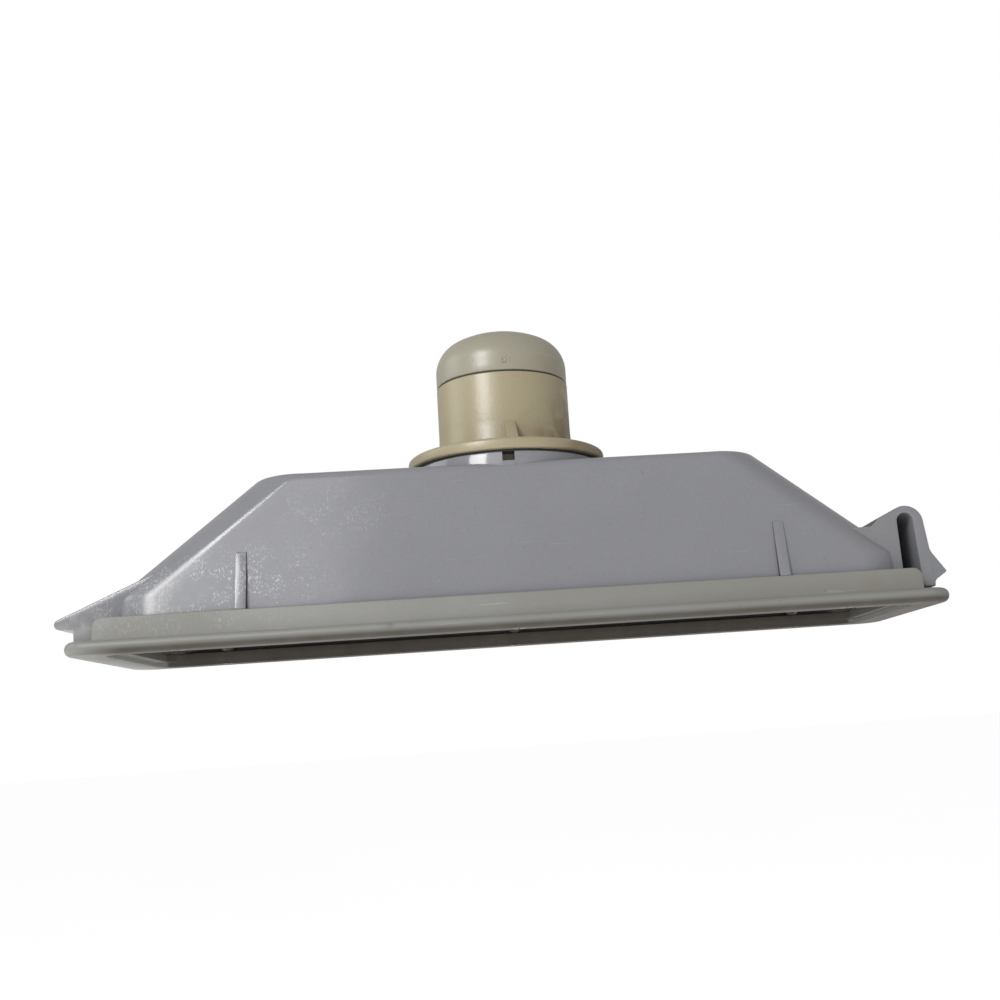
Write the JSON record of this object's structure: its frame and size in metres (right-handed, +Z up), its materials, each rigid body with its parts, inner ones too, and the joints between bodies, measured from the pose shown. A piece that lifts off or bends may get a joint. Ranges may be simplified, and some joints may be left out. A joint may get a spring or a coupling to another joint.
{
  "type": "roof vent cover",
  "caption": "Snap-in recessed roof vent: tapered grey hopper with rim, end hook and sprung clip, twist-lock spigot sleeve and a domed lid raised by an inside knob.",
  "frame": {"origin": "under the collar axis, at the middle of the rim's underside; the hook reaches 2.5 mm further out than the clip", "axes": "+X along the rim towards the sprung clip, +Y across the rim, +Z up along the sleeve towards the domed lid"},
  "size_m": [0.2481, 0.0734, 0.0944],
  "materials": {
    "grey_gloss": "glossy cool grey moulding, dusty and finely scratched",
    "grey_matte": "matte greenish grey moulding, brown-stained at the lip",
    "beige_plastic": "yellowed beige moulding, satin",
    "cap_plastic": "grey-beige moulding, satin",
    "knob_plastic": "light grey moulding, satin",
    "black_rubber": "soft black rubber",
    "white_nylon": "off-white nylon",
    "zinc_steel": "zinc-plated steel",
    "screen_metal": "dull aluminium",
    "brass_bush": "machined brass"
  },
  "bodies": {
    "housing": {"housing": "grey_gloss", "base_frame": "grey_matte", "frame_screws": "zinc_steel", "clip_base": "grey_gloss"},
    "clip": {"clip_arm": "grey_gloss"},
    "sleeve": {"spigot_sleeve": "beige_plastic", "collar_seal": "black_rubber", "hub_spider": "beige_plastic", "spider_screws": "zinc_steel", "insect_screen": "screen_metal", "thrust_washer": "white_nylon", "wave_washer": "zinc_steel"},
    "knob": {"control_knob": "knob_plastic", "knob_insert": "brass_bush", "knob_cover": "knob_plastic", "knob_retaining_clip": "zinc_steel"},
    "lid": {"dome_cap": "cap_plastic", "cap_seal": "black_rubber", "spindle": "zinc_steel", "spindle_pin": "zinc_steel", "spindle_stop_clip": "zinc_steel"}
  },
  "joints": [
    {"name": "clip_flex", "type": "hinge", "parent": "housing", "child": "clip", "pos_m": [0.1122, 0, 0.0264], "axis": [0, 1, 0], "range_deg": [0, 7.5], "stiffness_Nm_per_rad": 0.3},
    {"name": "sleeve_twist", "type": "hinge", "parent": "housing", "child": "sleeve", "pos_m": [0, 0, 0.048], "axis": [0, 0, 1], "range_deg": [-45, 0]},
    {"name": "knob_turn", "type": "hinge", "parent": "sleeve", "child": "knob", "pos_m": [0, 0, 0.046], "axis": [0, 0, -1], "range_deg": [0, 720]},
    {"name": "lid_lift", "type": "slide", "parent": "sleeve", "child": "lid", "axis": [0, 0, 1], "range_m": [0, 0.01]}
  ],
  "couplings": [
    {"joint": "knob_turn", "follows": "lid_lift", "rad_per_m": 1256.6}
  ]
}
